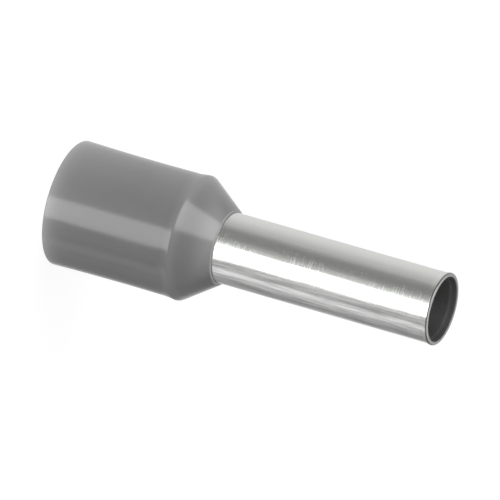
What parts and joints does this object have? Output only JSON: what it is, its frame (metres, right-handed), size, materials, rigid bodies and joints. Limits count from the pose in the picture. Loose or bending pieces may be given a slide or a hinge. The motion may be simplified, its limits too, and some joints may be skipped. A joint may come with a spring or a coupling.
{
  "type": "wire ferrule",
  "caption": "Insulated wire ferrule: a thin plated metal tube with a belled inner end and a small lip at its tip, gripped by a hollow grey plastic collar that takes the wire's insulation.",
  "frame": {"origin": "centre of the collar's open rear end, on the axis, in the plane that the ferrule stands on", "axes": "+Z along the axis of both pieces, from the wire's entry towards the open tip of the metal tube; +X and +Y are alike, because every section is round"},
  "size_m": [0.0056, 0.0056, 0.0181],
  "materials": {
    "collar_plastic": "moulded grey polypropylene, semi-gloss",
    "tinned_copper": "bright tin plating on drawn copper, fine lines along the tube"
  },
  "bodies": {
    "root": {"insulating_collar": "collar_plastic", "crimp_tube": "tinned_copper"}
  },
  "joints": []
}
